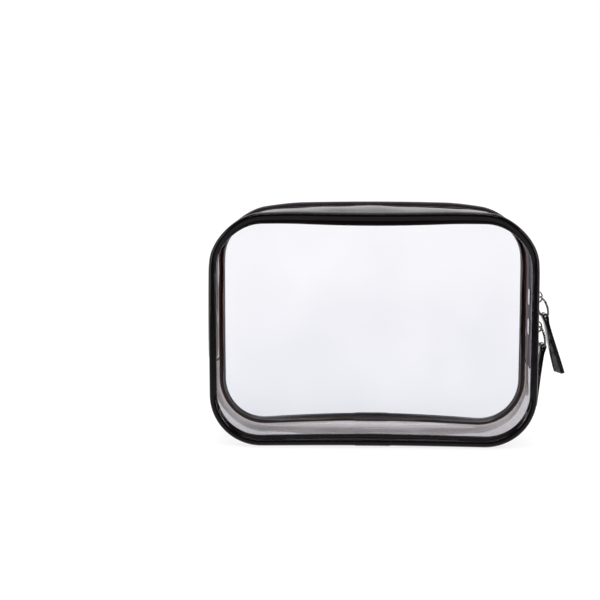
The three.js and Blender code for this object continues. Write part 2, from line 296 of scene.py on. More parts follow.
# %% [markdown]
# ## Node helper and colours
# Colours are given as the hex values that a screen shows, and one function turns them to the linear
# values that the renderer wants. One small function adds a shader node with its settings and links.

# %% Material helpers
def linear(code, alpha=1.0):
    """sRGB hex, such as '#1a2b3c', to a linear RGBA colour."""
    values = [int(code[i:i + 2], 16) / 255 for i in (1, 3, 5)]
    decoded = [v / 12.92 if v <= 0.04045 else ((v + 0.055) / 1.055) ** 2.4 for v in values]
    return (*decoded, alpha)


def add(tree, kind, inputs=(), **settings):
    """Add a node: settings are its properties, and inputs gives each socket a value or a link."""
    node = tree.nodes.new(kind)
    for name, value in settings.items():
        setattr(node, name, value)
    for socket, value in dict(inputs).items():
        if isinstance(value, bpy.types.NodeSocket):
            tree.links.new(value, node.inputs[socket])
        else:
            node.inputs[socket].default_value = value
    return node


def new_material(name):
    """A material with an empty node tree, and that tree."""
    material = bpy.data.materials.new(name)
    material.use_nodes = True
    material.node_tree.nodes.clear()
    return material, material.node_tree


def blend_colours(tree, factor, low, high):
    """Two colours mixed by a factor."""
    mix = add(tree, "ShaderNodeMix", data_type="RGBA")
    tree.links.new(factor, mix.inputs["Factor"])
    mix.inputs["A"].default_value = linear(low)
    mix.inputs["B"].default_value = linear(high)
    return mix.outputs["Result"]


def noise(tree, size_mm, detail=2.0, vector=None):
    """Noise whose features are about size_mm across, in object space unless a vector is given."""
    place = vector or add(tree, "ShaderNodeTexCoord").outputs["Object"]
    return add(tree, "ShaderNodeTexNoise",
               {"Vector": place, "Scale": 1 / (size_mm * MM), "Detail": detail}).outputs["Fac"]


def finish_material(tree, shader):
    """Send the finished shader to the material's output."""
    add(tree, "ShaderNodeOutputMaterial", {"Surface": shader})


# %% [markdown]
# ## Clear and smoked vinyl
# Plasticised PVC sheet, calendered between polished rollers. Its refractive index is about 1.53, so it
# mirrors 4% of what it faces, more at a glancing angle. A sheet this thin bends light hardly at all, so
# it is made as a tinted film: a transparent shader for what passes, and a sharp gloss on top by Fresnel.
# Each sheet is a solid with two surfaces. The tint of one surface is the square root of the sheet's.
# Only the surface that faces the eye mirrors, and it stands for both: two surfaces that each mirror F
# mirror 2F / (1 + F) together. Rollers leave the sheet very slightly wavy, and a shallow bump breaks up
# the reflections. Low down the tint is a shade greyer, set by height, and a slow noise makes it patchy. The
# sheet under the bag is a paler smoke than the zipper's strips.

# %% Vinyl films
def film(name, low_tint, high_tint, index, roughness, wave_mm, wave_height_mm):
    """Transparent and glossy, mixed by the mirrored share; the tint goes from one shade low down to another
    higher up.
    """
    material, tree = new_material(name)
    place = add(tree, "ShaderNodeTexCoord").outputs["Object"]
    height = add(tree, "ShaderNodeSeparateXYZ", {0: place}).outputs["Z"]
    # the tint changes with height only: a greyer shade low down, a paler one higher up
    height_share = add(tree, "ShaderNodeMapRange",
               {"Value": height, "From Min": 0.0, "From Max": 0.13}).outputs[0]
    patchy = add(tree, "ShaderNodeMath", {0: noise(tree, 60), 1: 0.5}, operation="SUBTRACT").outputs[0]
    high_share = add(tree, "ShaderNodeMath", {0: height_share, 1: patchy}, operation="ADD").outputs[0]
    tint = blend_colours(tree, high_share, low_tint, high_tint)
    through = add(tree, "ShaderNodeBsdfTransparent", {"Color": tint})
    bump = add(tree, "ShaderNodeBump", {"Height": noise(tree, wave_mm, 1.0), "Strength": 1.0,
                                        "Distance": wave_height_mm * MM})
    gloss = add(tree, "ShaderNodeBsdfGlossy", {"Roughness": roughness, "Normal": bump.outputs["Normal"]})
    once = add(tree, "ShaderNodeFresnel", {"IOR": index}).outputs[0]
    twice = add(tree, "ShaderNodeMath", {0: once, 1: 2.0}, operation="MULTIPLY").outputs[0]
    more = add(tree, "ShaderNodeMath", {0: once, 1: 1.0}, operation="ADD").outputs[0]
    mirror = add(tree, "ShaderNodeMath", {0: twice, 1: more}, operation="DIVIDE").outputs[0]
    behind = add(tree, "ShaderNodeNewGeometry").outputs["Backfacing"]
    towards = add(tree, "ShaderNodeMath", {0: 1.0, 1: behind}, operation="SUBTRACT").outputs[0]
    share = add(tree, "ShaderNodeMath", {0: mirror, 1: towards}, operation="MULTIPLY").outputs[0]
    mixed = add(tree, "ShaderNodeMixShader", {0: share, 1: through.outputs[0], 2: gloss.outputs[0]})
    finish_material(tree, mixed.outputs[0])
    return material


clear_vinyl = film("clear_pvc_sheet", "#f8f8fa", "#fefeff", 1.42, 0.04, 55, 0.3)
smoke_vinyl = film("smoke_pvc_sheet", "#cec6c1", "#d6cfca", 1.53, 0.05, 24, 0.35)
pale_smoke_vinyl = film("pale_smoke_pvc_sheet", "#dedbdb", "#dad5d2", 1.53, 0.05, 30, 0.35)


# %% [markdown]
# ## Glossy black piping
# The piping is a strip of the same vinyl, dyed almost black with a red-brown cast, wrapped round a soft
# cord. It is opaque and very glossy, with long even highlights. Where the strip is a single layer, on the
# side towards the gusset, light gets into it and it glows a deep red-brown; that glow is painted into the
# base colour as a red-brown band, broken up by a slow noise. The piece's UV map says where that side is: its V
# runs round the section.

# %% Piping vinyl
def glossy_vinyl(name, dark, light, roughness, wave_mm, wave_height_mm):
    """An opaque gloss whose dye drifts between two colours, with a shallow wave in its surface."""
    material, tree = new_material(name)
    colour = blend_colours(tree, noise(tree, 18), dark, light)
    bump = add(tree, "ShaderNodeBump", {"Height": noise(tree, wave_mm), "Strength": 1.0,
                                        "Distance": wave_height_mm * MM})
    shader = add(tree, "ShaderNodeBsdfPrincipled",
                 {"Base Color": colour, "Roughness": roughness, "IOR": 1.53,
                  "Normal": bump.outputs["Normal"]})
    finish_material(tree, shader.outputs[0])
    return material


def piping_finish():
    """The dark gloss, with a painted red-brown glow where V is close to 0.8, broken up by a slow noise."""
    material, tree = new_material("black_piping_vinyl")
    round_section = add(tree, "ShaderNodeSeparateXYZ",
                        {0: add(tree, "ShaderNodeTexCoord").outputs["UV"]}).outputs["Y"]
    off_side = add(tree, "ShaderNodeMath", {0: round_section, 1: 0.8}, operation="SUBTRACT").outputs[0]
    away = add(tree, "ShaderNodeMath", {0: off_side}, operation="ABSOLUTE").outputs[0]
    # painted glow: the red-brown of light coming through the single layer, painted as a band in the base
    # colour
    painted_glow = add(tree, "ShaderNodeMapRange",
               {"Value": away, "From Min": 0.09, "From Max": 0.02}).outputs[0]
    patchy = add(tree, "ShaderNodeMath", {0: painted_glow, 1: noise(tree, 22)}, operation="MULTIPLY").outputs[0]
    colour = blend_colours(tree, patchy, "#0a0607", "#6b1c12")
    bump = add(tree, "ShaderNodeBump",
               {"Height": noise(tree, 9), "Strength": 1.0, "Distance": 0.1 * MM})
    shader = add(tree, "ShaderNodeBsdfPrincipled",
                 {"Base Color": colour, "Roughness": 0.12, "IOR": 1.53, "Normal": bump.outputs["Normal"]})
    finish_material(tree, shader.outputs[0])
    return material


piping_vinyl = piping_finish()
seam_vinyl = glossy_vinyl("folded_smoke_vinyl_seam", "#1d0e0c", "#33201b", 0.2, 4, 0.1)
allowance_vinyl = glossy_vinyl("piping_flange_vinyl", "#0d0605", "#2a1510", 0.2, 12, 0.1)
patent = glossy_vinyl("black_patent_strap", "#070607", "#121012", 0.1, 3.5, 0.08)
for finish in (clear_vinyl, smoke_vinyl, pale_smoke_vinyl, piping_vinyl, seam_vinyl, allowance_vinyl,
               patent):
    print(f"{finish.name}: {len(finish.node_tree.nodes)} nodes")


# %% [markdown]
# ## Woven tape, nylon coil and thread
# The tape is polyester woven in a twill. Its threads are 0.3 mm apart, drawn here at 0.6 mm, with ribs
# every 1.5 mm, because finer ones wouldn't show. Two wave textures on the UV map make the ribs along it
# and the threads across. The coil is drawn nylon wire, satin, a shade darker. Both are dark grey with a
# purple cast.

# %% Textile materials
def wave_scale(pitch_mm):
    """A wave texture repeats 20 x scale / 2 pi times a metre."""
    return 2 * PI / (20 * pitch_mm * MM)


def woven(name, dark, light, rib_mm, thread_mm, height_mm):
    """Ribs along the UV map times threads across it, as colour and as height."""
    material, tree = new_material(name)
    place = add(tree, "ShaderNodeTexCoord").outputs["UV"]
    ribs = add(tree, "ShaderNodeTexWave",
               {"Vector": place, "Scale": wave_scale(rib_mm), "Distortion": 0.4},
               bands_direction="Y").outputs["Fac"]
    threads = add(tree, "ShaderNodeTexWave",
                  {"Vector": place, "Scale": wave_scale(thread_mm), "Distortion": 0.6},
                  bands_direction="X").outputs["Fac"]
    cloth = add(tree, "ShaderNodeMath", {0: ribs, 1: threads}, operation="MULTIPLY").outputs[0]
    colour = blend_colours(tree, cloth, dark, light)
    bump = add(tree, "ShaderNodeBump", {"Height": cloth, "Strength": 1.0, "Distance": height_mm * MM})
    shader = add(tree, "ShaderNodeBsdfPrincipled",
                 {"Base Color": colour, "Roughness": 0.75, "Sheen Weight": 0.25, "Sheen Roughness": 0.4,
                  "Normal": bump.outputs["Normal"]})
    finish_material(tree, shader.outputs[0])
    return material


tape_weave = woven("woven_polyester_tape", "#2a2129", "#5a4c58", 1.5, 0.6, 0.12)
coil_nylon = glossy_vinyl("nylon_coil_wire", "#2b242b", "#40363f", 0.32, 2, 0.02)
sewing_thread = glossy_vinyl("polyester_sewing_thread", "#1c181c", "#4a434b", 0.45, 0.6, 0.05)


# %% [markdown]
# ## Nickel plate
# Zinc castings and steel wire with bright nickel plate: a metal with a faint warm cast, polished, with
# fine polishing marks that blur its reflections a little.

# %% Nickel
def plated(name):
    material, tree = new_material(name)
    marks = noise(tree, 0.8, 4.0)
    rough = add(tree, "ShaderNodeMapRange", {"Value": marks, "To Min": 0.08, "To Max": 0.22}).outputs[0]
    colour = blend_colours(tree, noise(tree, 3), "#c9c5c2", "#e2dfdc")
    bump = add(tree, "ShaderNodeBump", {"Height": marks, "Strength": 1.0, "Distance": 0.015 * MM})
    shader = add(tree, "ShaderNodeBsdfPrincipled",
                 {"Base Color": colour, "Metallic": 1.0, "Roughness": rough,
                  "Normal": bump.outputs["Normal"]})
    finish_material(tree, shader.outputs[0])
    return material


nickel = plated("bright_nickel_plate")


# %% [markdown]
# ## The clear faces
# Each face is one sheet, held at its rim by the piping. A flat plate would look dead: the real one
# bellies out by a millimetre or two, unevenly. The surface is a fan from the middle to the rim, one
# parameter for how far out and one for how far round. Both skins of the sheet make one closed grid.

# %% Faces
def face_sheet(side, belly):
    """Rim points shrunk towards the middle by a factor t give the fan; y bulges by belly x (1 - t^2)
    with two slow waves; the second skin is the first, one thickness inside."""
    s = np.linspace(0, LOOP, 240, endpoint=False)
    x, z, out_x, out_z = outline(s)
    rim = np.stack([x - 1.4 * out_x, z - 1.4 * out_z], -1)
    centre = np.array([0, (SEAM_LOW + SEAM_TOP) / 2])
    t = np.linspace(0.02, 1, 34)[:, None, None] ** 0.8
    xz = centre + t * (rim - centre)
    bulge = belly * (1 - t[..., 0] ** 2) ** 0.8
    wave = 0.5 * np.sin(xz[..., 0] / 31 + 1) * np.sin(xz[..., 1] / 19 + side) * (1 - t[..., 0] ** 4)
    skins = [np.stack([xz[..., 0], side * (FACE_Y + 0.2 + bulge + wave + lift), xz[..., 1]], -1)
             for lift in (SHEET / 2, -SHEET / 2)]
    return grid_part(settle(np.concatenate([skins[0], skins[1][::-1]])))


make_piece("front_clear_face", [face_sheet(-1, 1.6)], clear_vinyl, "clear_vinyl", "bag",
           "front_panel_lower", "front_panel_upper", flap=True)
make_piece("back_clear_face", [face_sheet(1, 1.2)], clear_vinyl, "clear_vinyl", "bag", "back_panel")


# %% [markdown]
# ## The piping
# The strip shows two ridges from the front: the round one over the cord, and a low one where its flange
# folds over the edge of the face, with the stitched groove between them. A tube would have neither, so
# the section is worked out as a thickness: a circle and a tongue, whichever is thicker, carried round
# the seam line. The two ends meet at the middle of the bottom under a short welded sleeve.

# %% Piping
CORD_R = 2.4                         # radius of the round ridge over the cord
CORD_OUT = 0.28                      # the cord lies this far outside the seam line


def piping_section(flange_reach, grow=0.0, sides=48):
    """Half thickness at each distance out: a circle over the cord, or the flange's flat tongue with a low
    rounded ridge, whichever is thicker. Returns (out, forwards) offsets, flange_reach mm long inwards."""
    turn = np.linspace(0, 2 * PI, sides, endpoint=False)
    far, near = CORD_OUT + CORD_R + grow, -flange_reach - grow
    out = (far + near) / 2 + (far - near) / 2 * np.cos(turn)
    cord = np.sqrt(np.clip((CORD_R + grow) ** 2 - (out - CORD_OUT) ** 2, 0, None))
    half = min(1.5, (far - near) / 3)    # half the length of the ridge on the flange
    middle = near + half
    tongue = 1.0 + 0.3 * np.exp(-((out - middle + 0.4) / 0.6) ** 2) + grow
    tongue = tongue * np.sqrt(np.clip(1 - np.clip((middle - out) / half, 0, 1) ** 4, 0, 1))
    thick = np.maximum(cord, np.where(out < CORD_OUT, tongue, 0))
    return np.stack([out, np.sign(np.sin(turn)) * thick], -1)


def flange_reach(s, side):
    """The strip shows more of its flange along the top and the bottom, where it rolls over: the reach grows
    with how far the way out points up or down, and again by the hump. The back's lies towards the gusset."""
    x, z, out_x, out_z = outline(s)
    along_edges = hump_along(x) * np.abs(out_z) ** 4
    if side > 0:
        return 1.2 + 1.1 * along_edges
    return 2.0 + 2.0 * np.abs(out_z) + np.where(out_z > 0, 1.8, 0.9) * along_edges


def along_seam(s, section, side):
    """Carry an (out, forwards) section, one for each place, along the seam line of one face."""
    return on_bag(np.asarray(s)[:, None], section[..., 0], side * (FACE_Y + section[..., 1]))


def piping_joiner(side):
    """The sleeve: the piping's section grown a little, with a pinch at each end of its length."""
    half = 11.5                      # half the sleeve's length
    s = np.linspace(-half, half, 41)
    grow = 0.3 * np.clip((half - np.abs(s)) / 1.2, 0, 1) ** 0.5 - 0.05 - 0.08 * np.cos(s * 0.9) ** 8
    section = np.stack([piping_section(reach, g) for reach, g in zip(flange_reach(s, side), grow)])
    return grid_part(along_seam(s, section, side))


for name, side in SIDES:
    s = np.linspace(0, LOOP, 400, endpoint=False)
    section = np.stack([piping_section(reach) for reach in flange_reach(s, side)])
    cover = grid_part(along_seam(s, section, side), wrap_rows=True)
    nodes = [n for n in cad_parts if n.startswith(f"{name}_piping") and "joiner" not in n]
    make_piece(f"{name}_piping_strip", [cover], piping_vinyl, "piping_vinyl", "bag", *nodes, flap=side < 0)
    make_piece(f"{name}_piping_sleeve", [piping_joiner(side)], piping_vinyl, "piping_vinyl", "bag",
               f"{name}_piping_joiner")


# %% [markdown]
# ## The gusset
# Three pieces of smoked vinyl go round the bag: one under it, and a strip each side of the zipper,
# folded under along the zipper and sewn through the fold. One function gives how far the gusset stands
# proud at any place, with the slight ripple that makes its reflections wander, so that stitches and
# seams sit exactly on it.

# %% Gusset shape
GUSSET_EDGE = FACE_Y - 1.3           # where the gusset's edge goes in under the piping
STITCH_Y = 8.4                       # the hem's stitches, from the middle of the zipper


def ripple(s, y):
    """Slow sine waves along the gusset that fade towards its piped edges, and puckers by the stitches."""
    fade = 1 - np.clip(np.abs(y) / GUSSET_EDGE, 0, 1) ** 4
    slow = 0.2 * np.sin(s / 11.3 + y / 9) + 0.12 * np.sin(s / 5.1 - y / 5 + 1) + 0.25 * np.sin(s / 23)
    sewn = np.exp(-((np.abs(y) - STITCH_Y) / 2.2) ** 2) * smooth((outline(s)[1] - 46) / 6)
    fine = 0.05 * np.sin(s / 1.15 + 0.3 * y) + 0.03 * np.sin(s / 0.83 - 0.5 * y) * np.sin(s / 19)
    pucker = sewn * fine
    return fade * slow + pucker


def gusset_out(s, y):
    """Flat under the bag and crowned round the zipper, changing over between heights 20 and 70."""
    z = outline(s)[1]
    a = np.abs(y)
    under = (PIPING_R - SHEET / 2) * (1 - np.clip(a / GUSSET_EDGE, 0, 1) ** 8)
    crowned = CROWN * (1 - np.clip((a - SLOT) / (GUSSET_EDGE - SLOT), 0, 1) ** 3)
    mix = smooth((z - 20) / 50)
    tucked = 0.4 * (a / GUSSET_EDGE) ** 12
    return under * (1 - mix) + crowned * mix + ripple(s, y) * smooth(z / 30) - tucked


HEM_DEPTH = 7.5                      # how far the under-layer goes back from the fold
HEM_FOLD = SLOT + 0.6                # where the fold's half turn begins
HEM_DROP = 0.75                      # distance between the strip's two layers, mid to mid


def hem_line():
    """Strip's mid-line as (drop below the gusset surface, y): under-layer, half turn, outer layer."""
    turn = np.linspace(-PI / 2, PI / 2, 9)[1:-1]
    under = np.linspace(SLOT + HEM_DEPTH, HEM_FOLD, 10)
    over = np.linspace(HEM_FOLD, GUSSET_EDGE, 26)
    fold = np.stack([HEM_DROP / 2 * (1 - np.sin(turn)), HEM_FOLD - HEM_DROP / 2 * np.cos(turn)], -1)
    return np.concatenate([
        np.stack([np.full_like(under, HEM_DROP), under], -1), fold,
        np.stack([np.zeros_like(over), over], -1)])


def gusset_strip(s, line, side=1):
    """Carry a (drop, y) mid-line along the gusset as a sheet with rounded, slightly tucked ends."""
    section = thick_line(line, SHEET)
    s = s[:, None]
    y = side * section[None, :, 1]
    return grid_part(on_bag(s, gusset_out(s, y) - section[None, :, 0], y))


def rounded_span(a, b, count):
    """Places from a to b, closer together near both ends."""
    t = (1 - np.cos(np.linspace(0, PI, count))) / 2
    return a + (b - a) * (0.5 * t + 0.5 * np.linspace(0, 1, count))


zip_from = at_height(END_SEAM_Z + 0.3)
for name, side in SIDES:
    s = rounded_span(zip_from, LOOP - zip_from, 330)
    make_piece(f"smoke_strip_{name}", [gusset_strip(s, hem_line(), side)], smoke_vinyl, "smoke_vinyl",
               "bag", f"zipper_gusset_{name}", flap=side < 0)

s = rounded_span(-at_height(END_SEAM_Z), at_height(END_SEAM_Z), 300)
flat_line = np.stack([np.zeros(61), np.linspace(-GUSSET_EDGE, GUSSET_EDGE, 61)], -1)
make_piece("smoke_bottom_gusset", [gusset_strip(s, flat_line)], pale_smoke_vinyl, "smoke_vinyl", "bag",
           "bottom_gusset")


# %% [markdown]
# ## The flanges inside
# The piping's flange, the face's edge and the gusset's edge are sewn together, and the spare 5 mm of all
# three lies inside along the gusset. Through the smoked sheet it shows as a dark brown band beside the
# piping.

# %% Flanges inside
def inner_flange(side, width):
    """A strip just under the gusset's edge whose free edge waves by half a millimetre."""
    s = np.linspace(0, LOOP, 360, endpoint=False)
    wave = 0.35 * np.sin(s / 9) + 0.25 * np.sin(s / 4.3 + 2)
    line = np.linspace(0, 1, 8)
    across = thick_line(np.stack([0.3 * line, line], -1) * np.array([1, width]), 0.7)
    y = side * (GUSSET_EDGE + 0.6 - across[None, :, 1] * (1 + wave[:, None] / width))
    out = gusset_out(s[:, None], np.clip(np.abs(y), 0, GUSSET_EDGE)) - 0.95 - across[None, :, 0]
    return grid_part(on_bag(s[:, None], out, y), wrap_rows=True)


for name, side in SIDES:
    flange = inner_flange(side, 4.4 if side < 0 else 3.6)
    make_piece(f"inner_flange_{name}", [flange], allowance_vinyl, "piping_vinyl", "bag", flap=side < 0)


# %% [markdown]
# ## End seams
# Where the top and bottom gussets meet, both edges turn in and are sewn together. The four layers read
# as one thin dark line with a soft rounded lip above and below it, so the seam is a flattened bead that
# runs across the end and sinks at its middle height.

# %% End seams
def end_seam(sign):
    """A bead 1.5 mm high whose middle lies 0.15 mm under the gusset's surface, from edge to edge."""
    y = np.linspace(-GUSSET_EDGE, GUSSET_EDGE, 80)[:, None]
    turn = np.linspace(0, 2 * PI, 14, endpoint=False)[None]
    s = at_height(END_SEAM_Z + 0.15 + 0.75 * np.sin(turn))
    out = gusset_out(s, y) - 0.15 + 0.45 * np.cos(turn)
    return grid_part(on_bag(s if sign > 0 else LOOP - s, out, y))


for name, sign in (("right", 1), ("left", -1)):
    make_piece(f"end_seam_{name}", [end_seam(sign)], seam_vinyl, "smoke_vinyl", "bag")


# %% [markdown]
# ## Zipper tape and coils
# The tape is a woven ribbon 16 mm wide each side, with a thicker woven edge beside the coil. Each coil
# is one nylon wire wound as a flattened helix; the two sides are half a turn apart, so their heads lie
# between each other along the middle. Dots of the thread that sews the coil to the tape show on top of
# each turn.

# %% Tape and coils
TAPE_OUT = 1.7                       # the tape's mid-surface in the slot
TAPE_HALF = 16                       # the ribbon's width
PITCH = 1.35                         # from one turn of the coil to the next
WIRE_R = 0.36
COIL_OUT = 3.45                      # the coil's axis
TAPE_DROP = 1.35                     # from the strip's surface down to the tape, under the folded hem


def tape_out(s, y):
    """Flat where it shows in the slot, then a fixed drop under the strip's outer surface as that ripples."""
    hung = gusset_out(s, np.sign(y) * np.maximum(np.abs(y), SLOT)) - TAPE_DROP
    mix = smooth((np.abs(y) - 3) / 3)
    return TAPE_OUT * (1 - mix) + hung * mix


def tape(side):
    """A ribbon 0.5 mm thick, 0.9 mm at its inner edge, whose UV runs in metres along and round it.
    It narrows to 9 mm on its way down into the end seam, by a smooth step."""
    y = np.linspace(0.4, TAPE_HALF, 24)
    half = 0.25 + 0.2 * np.exp(-((y - 4.2) / 0.5) ** 2) + 0.12 * np.exp(-((y - 15.5) / 0.4) ** 2)
    section = np.concatenate([np.stack([half, y], -1), np.stack([-half, y], -1)[::-1]])
    low = at_height(END_SEAM_Z + 0.3)
    s = np.concatenate([np.linspace(low, low + 4, 9), np.linspace(low + 5, LOOP - low - 5, 312),
                        np.linspace(LOOP - low - 4, LOOP - low, 9)])
    rise = np.minimum(s, LOOP - s) - at_height(TAPE_END_Z)
    across = side * section[None, :, 1] * (0.56 + 0.44 * smooth((rise[:, None] + 1.2) / 2))
    points = on_bag(s[:, None], tape_out(s[:, None], across) + section[None, :, 0], across)
    return grid_part(points, span=((s[-1] - s[0]) * MM, 2 * TAPE_HALF * MM))


def coil(side):
    """Flattened helix: across the tape by a cosine, in and out by a sine, one pitch forward a turn."""
    start, end = at_height(COIL_END_Z), LOOP - at_height(COIL_END_Z)
    turns = int((end - start) / PITCH)
    t = np.arange(turns * 14) / 14
    phase = 2 * PI * t
    s = start + PITCH * (t + (0.5 if side > 0 else 0))
    y = 1.42 + 1.4 * np.cos(phase) + 0.12 * np.cos(2 * phase)
    out = COIL_OUT + 0.85 * np.sin(phase)
    path = on_bag(s, out, side * y)
    ahead = on_bag(s + 0.5, COIL_OUT, 0 * s) - on_bag(s - 0.5, COIL_OUT, 0 * s)
    return grid_part(tube(path, WIRE_R, 6, unit(ahead)))


def coil_thread(side):
    """A thread along the top of the coil whose radius swells once a turn, so it reads as a row of dots."""
    start, end = at_height(COIL_END_Z), LOOP - at_height(COIL_END_Z)
    s = np.arange(start, end, PITCH / 6)
    swell = 0.5 + 0.5 * np.cos(2 * PI * (s - start) / PITCH + (PI if side > 0 else 0))
    path = on_bag(s, COIL_OUT + 0.9 + 0.3 * swell, side * 1.75 + 0 * s)
    across = np.broadcast_to(np.array([0.0, 1.0, 0.0]), path.shape)
    return grid_part(tube(path, 0.1 + 0.2 * swell, 6, across))


for name, side in SIDES:
    flap = side < 0
    make_piece(f"tape_ribbon_{name}", [tape(side)], tape_weave, "woven_tape", "bag",
               f"zipper_tape_{name}", flap=flap)
    make_piece(f"coil_{name}", [coil(side)], coil_nylon, "nylon_coil", "bag",
               f"zipper_coil_{name}", flap=flap)
    make_piece(f"coil_stitches_{name}", [coil_thread(side)], sewing_thread, "nylon_coil", "bag", flap=flap)


# %% [markdown]
# ## Stitches
# A lockstitch shows as a row of short dashes that dive into the sheet at both ends. One tube whose
# height and thickness rise and fall with the stitch length makes the whole row, at a few faces a stitch.

# %% Stitch rows
STITCH = 3.0


def stitch_row(s, y, lift):
    """A thread along s whose height follows |sine| to the power 0.4: long flat tops, short dips."""
    wave = np.abs(np.sin(PI * (s - s[0]) / STITCH)) ** 0.4
    path = on_bag(s, gusset_out(s, y) + lift - 0.35 * (1 - wave), y + 0 * s)
    across = np.broadcast_to(np.array([0.0, 1.0, 0.0]), path.shape)
    return grid_part(tube(path, 0.1 + 0.14 * wave, 6, across))


for name, side in SIDES:
    s = np.arange(zip_from + 1.5, LOOP - zip_from - 1.5, STITCH / 8)
    make_piece(f"hem_stitches_{name}", [stitch_row(s, side * STITCH_Y, SHEET / 2 + 0.08)], sewing_thread,
               "woven_tape", "bag", flap=side < 0)


# %% [markdown]
# ## Sliders
# A slider is a small zinc casting: a domed top plate with a narrower nose, a bottom plate, two flanges
# that hold the coils and a post between them. Rounded blocks do for all of them. The bridge that holds
# the ring is a flat bar bent over the top plate, made as a rectangle with round corners carried along
# half an ellipse.

# %% Slider and bridge
TOP_FACE = 6.2                       # the top plate's outer face, out from the seam line
RING_SEAT = 7.4                      # the ring's wire under the bridge
WALL_X = SEAM_X + 0.1                # the seam line plus the end's belly where the sliders park
RING_R = 6.95
RING_WIRE = 0.75


def slider_parts(z):
    """The casting's blocks, centred on the zipper line at height z; the nose end narrows by a fifth."""
    plate = rounded_block((1.5, 8.4, 10.5), plan=0.55, side=0.45, rows=20, cols=48)
    plate[..., 1] *= 1 - 0.14 * (1 + plate[..., 2] / 5.25)
    plate[..., 0] += 0.25 * np.clip(1 - (plate[..., 1] / 4) ** 2 - (plate[..., 2] / 5) ** 2, 0, 1)
    places = [(plate, (TOP_FACE - 0.8, 0, 0)),
              (rounded_block((1.0, 8.0, 10.2), plan=0.5, side=0.5), (0.7, 0, 0)),
              (rounded_block((3.8, 0.45, 5.2)), (3.2, 0, 0)),
              (rounded_block((2.6, 0.75, 7.4), plan=0.3), (4.0, 3.75, -0.6)),
              (rounded_block((2.6, 0.75, 7.4), plan=0.3), (4.0, -3.75, -0.6))]
    return [grid_part(block + np.array([WALL_X, 0, z]) + np.array(shift)) for block, shift in places]


def rounded_rectangle(width, height, radius, per_corner=4):
    """Corner arcs in order, joined by straight sides."""
    turn = np.linspace(0, PI / 2, per_corner)
    arcs = []
    for k, (sx, sy) in enumerate(((1, 1), (-1, 1), (-1, -1), (1, -1))):
        centre = np.array([sx * (width / 2 - radius), sy * (height / 2 - radius)])
        angle = turn + k * PI / 2
        arcs.append(centre + radius * np.stack([np.cos(angle), np.sin(angle)], -1))
    return np.concatenate(arcs)


def bridge_part(z):
    """A bar 2.2 x 0.9 mm over half an ellipse 3.4 mm long each way and 2.6 mm high, widest at its feet."""
    turn = np.linspace(-PI / 2, PI / 2, 25)
    path = np.stack([TOP_FACE + 0.05 + 2.6 * np.cos(turn), 0 * turn, 3.4 * np.sin(turn)], -1)
    out = unit(np.stack([np.cos(turn) * 3.4, 0 * turn, np.sin(turn) * 2.6], -1))
    section = rounded_rectangle(2.2, 0.9, 0.3)
    wide = (1 + 0.25 * np.abs(np.sin(turn)) ** 6)[:, None, None]
    across = np.array([0.0, 1.0, 0.0])
    points = path[:, None] + section[None, :, :1] * across * wide + section[None, :, 1:] * out[:, None]
    return grid_part(points + np.array([WALL_X, 0, z]))


# %% [markdown]
# ## Rings and straps
# The ring is 1.5 mm wire, bent round. The strap is a strip of patent finish folded over the ring and
# sewn to itself, with its end cut at a slant. Its section is carried along the fold: up the back layer,
# round the wire and down the front layer. The soft strip takes the ring's curve where it passes under
# it, and hangs with a slight twist.

# %% Ring and strap
def swing(points, degrees):
    """Turn points about the Y axis so that -Z leans towards +X."""
    a = math.radians(degrees)
    x, y, z = points[..., 0], points[..., 1], points[..., 2]
    return np.stack([x * math.cos(a) - z * math.sin(a), y, x * math.sin(a) + z * math.cos(a)], -1)


def ring_part(pivot, degrees, turned):
    """A torus hanging from its pivot, turned about the vertical and then leaning out."""
    u = np.linspace(0, 2 * PI, 72, endpoint=False)[:, None]
    v = np.linspace(0, 2 * PI, 14, endpoint=False)[None]
    reach = RING_R + RING_WIRE * np.cos(v)
    x, y = RING_WIRE * np.sin(v) + 0 * u, reach * np.sin(u)
    a = math.radians(turned)
    points = np.stack([x * math.cos(a) - y * math.sin(a), x * math.sin(a) + y * math.cos(a),
                       reach * np.cos(u) - RING_R], -1)
    return grid_part(pivot + swing(points, degrees), wrap_rows=True)


STRAP_LENGTH = 36.0                  # from the ring's wire to the cut end
STRAP_WIDTH = 10.5
LAYER = 1.15                         # thickness of one of the strap's two layers
CUT_SLANT = -1.0                     # the cut end's slant: its near corner is lower


def strap_line(count=40):
    """Fold mid-line in (thickness, down) from the back layer's end round the wire to the front layer's end."""
    down = np.linspace(STRAP_LENGTH, 2.0, count)
    turn = np.linspace(-PI * 0.98, 0, 17)[1:-1]
    gap = LAYER / 2 + 0.03 + 0.85 * np.exp(-(down / 2.2) ** 2)
    loop = 1.42
    bend = np.stack([loop * np.cos(turn), loop * np.sin(turn)], -1)
    back = np.stack([-gap, down], -1)
    front = np.stack([gap, down], -1)[::-1]
    return np.concatenate([back, bend, front])


def strap_part(pivot, lean, bow, twist):
    """Carry a round-edged rectangle along the fold, slant its cut end, bow and twist it, then hang it up."""
    line = strap_line()
    ahead = unit(np.gradient(line, axis=0))
    normal = np.stack([-ahead[:, 1], ahead[:, 0]], -1)
    section = rounded_rectangle(STRAP_WIDTH, LAYER, 0.4, 5)
    thick = line[:, None] + section[None, :, 1:] * normal[:, None]
    y = section[None, :, 0] + 0 * thick[..., 0]
    down = thick[..., 1]
    near_ring = np.exp(-np.clip(down + 1, 0, None) / 5)
    y *= 1 - 0.16 * near_ring
    rise = RING_R - np.sqrt(RING_R ** 2 - y ** 2)
    down = down - rise * near_ring + CUT_SLANT * (y / STRAP_WIDTH) * np.clip(down / STRAP_LENGTH, 0, 2) ** 8
    share = np.clip(down / STRAP_LENGTH, 0, 1)
    angle = math.radians(twist) * (0.15 + 0.85 * smooth(share))
    x = thick[..., 0]
    turned = np.stack([x * np.cos(angle) - y * np.sin(angle) + bow * share * (1 - share) * 4,
                       x * np.sin(angle) + y * np.cos(angle), -down], -1)
    return grid_part(pivot + swing(turned, lean))


